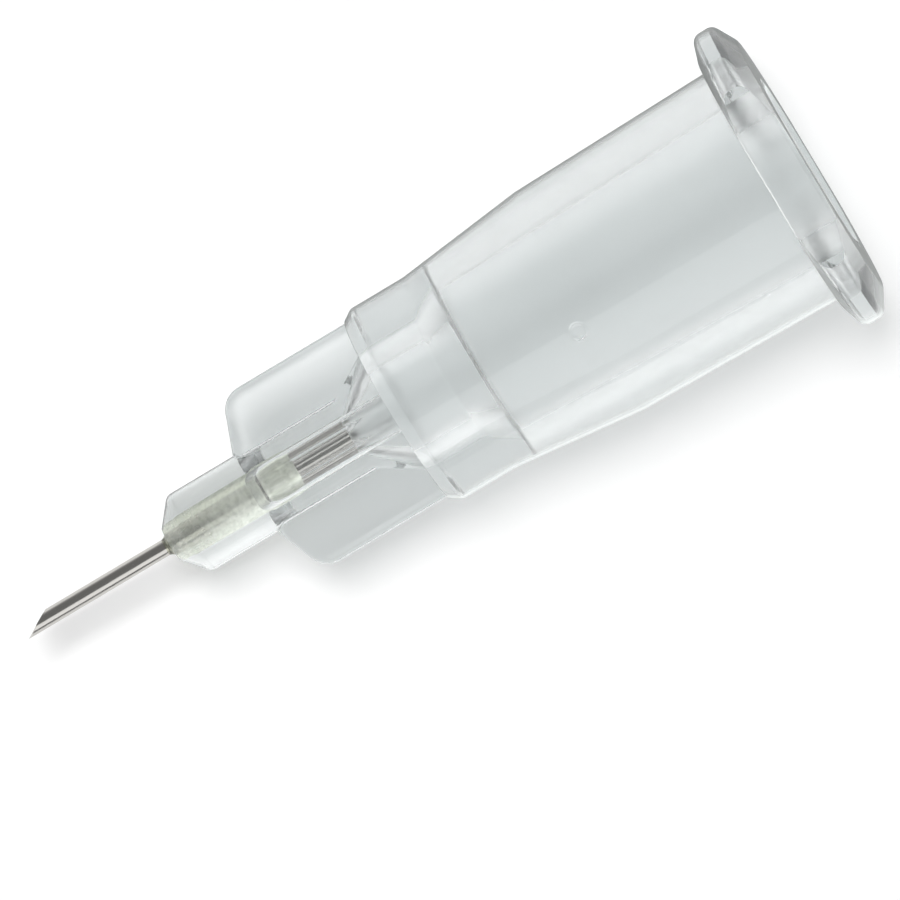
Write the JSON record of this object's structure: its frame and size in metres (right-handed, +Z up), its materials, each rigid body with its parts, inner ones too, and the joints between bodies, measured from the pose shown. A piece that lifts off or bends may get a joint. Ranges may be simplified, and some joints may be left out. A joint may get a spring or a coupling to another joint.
{
  "type": "mesotherapy needle",
  "caption": "Short fine injection needle: a steel cannula bonded into a clear tapered hub with guiding fins and a lugged flange for a conical lock fitting.",
  "frame": {"origin": "under the middle of the needle's bounding box, on the surface that the needle lies on", "axes": "+X along the needle towards the hub's open end, +Z up, +Y across the lugs; the needle's own axis dips towards the point by its tilt at rest, about 4.4 degrees"},
  "size_m": [0.0214, 0.0078, 0.0065],
  "materials": {
    "clear_polypropylene": "natural, injection moulded, slightly hazy",
    "stainless_steel": "drawn tube, polished, with a ground point",
    "cured_adhesive": "clear with a faint yellow-green cast"
  },
  "bodies": {
    "root": {"hub": "clear_polypropylene", "cannula": "stainless_steel", "adhesive": "cured_adhesive"}
  },
  "joints": []
}
